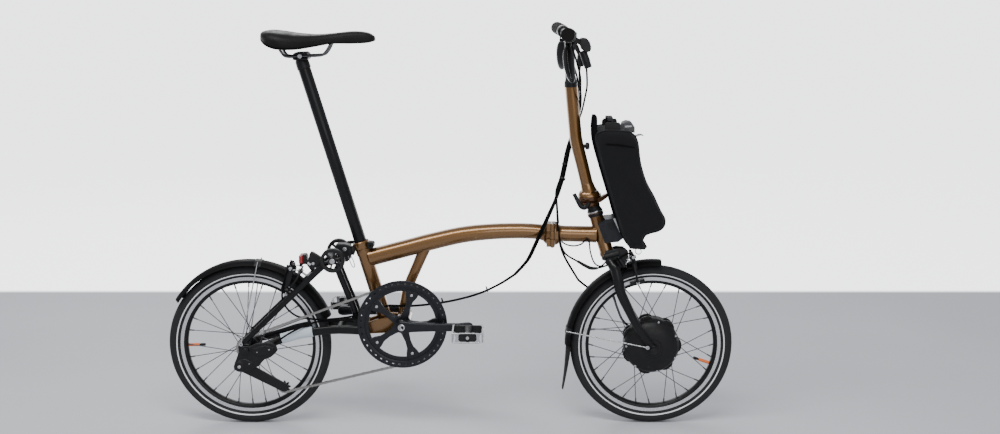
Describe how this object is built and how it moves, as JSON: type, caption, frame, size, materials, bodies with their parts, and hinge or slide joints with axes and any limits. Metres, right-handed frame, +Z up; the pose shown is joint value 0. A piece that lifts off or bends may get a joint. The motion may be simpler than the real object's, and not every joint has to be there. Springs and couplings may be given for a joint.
{
  "type": "folding bicycle",
  "caption": "Folding bicycle with small wheels, folding handlepost, hinged main tube, swinging rear frame, front hub motor and a lift-off battery bag.",
  "frame": {"origin": "on the ground, midway between the two wheel axles, in the plane of the wheels", "axes": "+X points forwards, +Y to the bicycle's left and +Z up"},
  "size_m": [1.4666, 0.5704, 1.0359],
  "materials": {
    "bronze_paint": "metallic lacquer",
    "black_metal": "satin black",
    "bright_metal": "polished",
    "rim_metal": "black anodised with a machined brake track",
    "steel": "zinc plated",
    "grey_alloy": "dark anodised",
    "tyre_rubber": "matte with a reflective sidewall line",
    "rubber": "matte",
    "black_plastic": "satin",
    "fabric": "woven nylon",
    "saddle_cover": "smooth synthetic",
    "red_lens": "clear red"
  },
  "bodies": {
    "main_frame": {"main_tube": "bronze_paint", "seat_tube": "bronze_paint", "frame_strut": "bronze_paint", "bottom_bracket": "bronze_paint"},
    "main_hinge_lever": {"main_hinge_lever": "black_metal"},
    "seat_clamp_lever": {"seat_clamp_lever": "black_metal"},
    "seat": {"seat_post": "bright_metal", "saddle_rails": "steel", "saddle": "saddle_cover"},
    "rear_frame": {"chainstays": "black_metal", "seatstays": "black_metal", "rear_uprights": "black_metal", "suspension_block": "black_plastic", "rear_mudguard": "black_plastic", "rear_axle": "steel", "rear_light": "red_lens", "derailleur_body": "black_metal", "chain": "steel"},
    "rear_caliper_right": {"rear_caliper_right": "black_metal"},
    "rear_caliper_left": {"rear_caliper_left": "black_metal"},
    "tensioner_arm": {"tensioner_arm": "black_metal"},
    "tensioner_pulley": {"tensioner_pulley": "black_plastic"},
    "rear_wheel": {"rear_tyre": "tyre_rubber", "rear_rim": "rim_metal", "rear_spokes": "steel"},
    "sprocket": {"sprocket": "steel"},
    "roller_right": {"roller_right": "black_plastic"},
    "roller_left": {"roller_left": "black_plastic"},
    "crankset": {"chainring": "grey_alloy", "right_crank": "grey_alloy", "left_crank": "grey_alloy"},
    "right_pedal": {"right_pedal": "black_plastic"},
    "left_pedal_hinge": {"left_pedal_hinge": "black_metal"},
    "left_pedal": {"left_pedal": "black_plastic"},
    "front_frame": {"front_tube": "bronze_paint", "head_tube": "bronze_paint", "carrier_block": "black_plastic", "cables": "rubber"},
    "battery_bag": {"battery_bag": "fabric"},
    "bag_handle": {"bag_handle": "fabric"},
    "fork": {"fork": "black_metal", "front_axle": "steel", "front_mudguard": "black_plastic", "mud_flap": "rubber"},
    "front_caliper_right": {"front_caliper_right": "black_metal"},
    "front_caliper_left": {"front_caliper_left": "black_metal"},
    "front_wheel": {"front_tyre": "tyre_rubber", "front_rim": "rim_metal", "front_spokes": "steel", "hub_motor": "black_metal"},
    "handlepost": {"handlepost": "bronze_paint", "bar_stem": "black_metal", "handlebar": "black_metal", "right_grip": "rubber", "left_grip": "rubber", "display": "black_plastic"},
    "handlepost_lever": {"handlepost_lever": "black_metal"},
    "right_brake_lever": {"right_brake_lever": "bright_metal"},
    "left_brake_lever": {"left_brake_lever": "bright_metal"}
  },
  "joints": [
    {"name": "rear_fold", "type": "hinge", "parent": "main_frame", "child": "rear_frame", "pos_m": [-0.22, 0, 0.257], "axis": [0, -1, 0], "range_deg": [0, 145], "deforming": ["chain"]},
    {"name": "main_fold", "type": "hinge", "parent": "main_frame", "child": "front_frame", "pos_m": [0.262, -0.0365, 0.506], "axis": [0, 0, -1], "range_deg": [0, 120], "deforming": ["cables"]},
    {"name": "main_hinge_lever_turn", "type": "hinge", "parent": "main_frame", "child": "main_hinge_lever", "pos_m": [0.25, 0.0405, 0.506], "axis": [0, 0, -1], "range_deg": [0, 110]},
    {"name": "seat_clamp_lever_turn", "type": "hinge", "parent": "main_frame", "child": "seat_clamp_lever", "pos_m": [-0.2035, 0.018, 0.476], "axis": [0, 0, -1], "range_deg": [0, 150]},
    {"name": "seat_height", "type": "slide", "parent": "main_frame", "child": "seat", "axis": [0.2873, 0, -0.9578], "range_m": [0, 0.165]},
    {"name": "rear_wheel_spin", "type": "hinge", "parent": "rear_frame", "child": "rear_wheel", "pos_m": [-0.5225, 0, 0.2108], "axis": [0, 1, 0], "continuous": true},
    {"name": "sprocket_spin", "type": "hinge", "parent": "rear_frame", "child": "sprocket", "pos_m": [-0.5225, 0, 0.2108], "axis": [0, 1, 0], "continuous": true},
    {"name": "roller_right_spin", "type": "hinge", "parent": "rear_frame", "child": "roller_right", "pos_m": [-0.295, -0.064, 0.4465], "axis": [0, 1, 0], "continuous": true},
    {"name": "roller_left_spin", "type": "hinge", "parent": "rear_frame", "child": "roller_left", "pos_m": [-0.295, 0.064, 0.4465], "axis": [0, 1, 0], "continuous": true},
    {"name": "tensioner_swing", "type": "hinge", "parent": "rear_frame", "child": "tensioner_arm", "pos_m": [-0.5399, -0.054, 0.1694], "axis": [0, 1, 0], "range_deg": [-12, 25], "stiffness_Nm_per_rad": 0.6, "springref_deg": -8.59},
    {"name": "tensioner_pulley_spin", "type": "hinge", "parent": "tensioner_arm", "child": "tensioner_pulley", "pos_m": [-0.4291, -0.045, 0.1091], "axis": [0, 1, 0], "continuous": true},
    {"name": "rear_caliper_right_close", "type": "hinge", "parent": "rear_frame", "child": "rear_caliper_right", "pos_m": [-0.38545, 0, 0.40293], "axis": [-0.8141, 0, 0.5807], "range_deg": [0, 1.2], "stiffness_Nm_per_rad": 8, "springref_deg": -1.15},
    {"name": "rear_caliper_left_close", "type": "hinge", "parent": "rear_frame", "child": "rear_caliper_left", "pos_m": [-0.38545, 0, 0.40293], "axis": [0.8141, 0, -0.5807], "range_deg": [0, 1.2], "stiffness_Nm_per_rad": 8, "springref_deg": -1.15},
    {"name": "crank_spin", "type": "hinge", "parent": "main_frame", "child": "crankset", "pos_m": [-0.1215, 0, 0.278], "axis": [0, 1, 0], "continuous": true},
    {"name": "right_pedal_spin", "type": "hinge", "parent": "crankset", "child": "right_pedal", "pos_m": [0.0485, -0.147, 0.278], "axis": [0, 1, 0], "continuous": true},
    {"name": "left_pedal_spin", "type": "hinge", "parent": "crankset", "child": "left_pedal_hinge", "pos_m": [-0.2915, 0.1, 0.278], "axis": [0, 1, 0], "continuous": true},
    {"name": "left_pedal_fold", "type": "hinge", "parent": "left_pedal_hinge", "child": "left_pedal", "pos_m": [-0.2915, 0.1195, 0.278], "axis": [1, 0, 0], "range_deg": [0, 90]},
    {"name": "steering", "type": "hinge", "parent": "front_frame", "child": "fork", "pos_m": [0.3723, 0, 0.56], "axis": [-0.2887, 0, 0.9574], "range_deg": [-40, 40]},
    {"name": "bag_lift", "type": "slide", "parent": "front_frame", "child": "battery_bag", "axis": [0.4, 0, 0.9165], "range_m": [0, 0.15]},
    {"name": "bag_handle_fold", "type": "hinge", "parent": "battery_bag", "child": "bag_handle", "pos_m": [0.408, 0, 0.7842], "axis": [0, 1, 0], "range_deg": [-60, 75]},
    {"name": "front_caliper_right_close", "type": "hinge", "parent": "fork", "child": "front_caliper_right", "pos_m": [0.46941, 0, 0.44075], "axis": [0.9744, 0, 0.225], "range_deg": [0, 1.2], "stiffness_Nm_per_rad": 8, "springref_deg": -1.15},
    {"name": "front_caliper_left_close", "type": "hinge", "parent": "fork", "child": "front_caliper_left", "pos_m": [0.46941, 0, 0.44075], "axis": [-0.9744, 0, -0.225], "range_deg": [0, 1.2], "stiffness_Nm_per_rad": 8, "springref_deg": -1.15},
    {"name": "front_wheel_spin", "type": "hinge", "parent": "fork", "child": "front_wheel", "pos_m": [0.5225, 0, 0.2108], "axis": [0, 1, 0], "continuous": true},
    {"name": "handlepost_fold", "type": "hinge", "parent": "fork", "child": "handlepost", "pos_m": [0.3605, 0.027, 0.6], "axis": [-1, 0, 0], "range_deg": [0, 135]},
    {"name": "handlepost_lever_turn", "type": "hinge", "parent": "fork", "child": "handlepost_lever", "pos_m": [0.355, -0.033, 0.594], "axis": [0, 0, 1], "range_deg": [0, 100]},
    {"name": "right_brake_squeeze", "type": "hinge", "parent": "handlepost", "child": "right_brake_lever", "pos_m": [0.2905, -0.148, 0.992], "axis": [-1, 0, 0], "range_deg": [0, 14], "stiffness_Nm_per_rad": 1, "springref_deg": -14.32},
    {"name": "left_brake_squeeze", "type": "hinge", "parent": "handlepost", "child": "left_brake_lever", "pos_m": [0.2905, 0.148, 0.992], "axis": [1, 0, 0], "range_deg": [0, 14], "stiffness_Nm_per_rad": 1, "springref_deg": -14.32}
  ],
  "couplings": [
    {"joint": "sprocket_spin", "follows": "crank_spin", "ratio": 4},
    {"joint": "tensioner_pulley_spin", "follows": "crank_spin", "ratio": 7.0067},
    {"joint": "rear_caliper_right_close", "follows": "left_brake_squeeze", "ratio": 0.0857},
    {"joint": "rear_caliper_left_close", "follows": "left_brake_squeeze", "ratio": 0.0857},
    {"joint": "front_caliper_right_close", "follows": "right_brake_squeeze", "ratio": 0.0857},
    {"joint": "front_caliper_left_close", "follows": "right_brake_squeeze", "ratio": 0.0857}
  ]
}
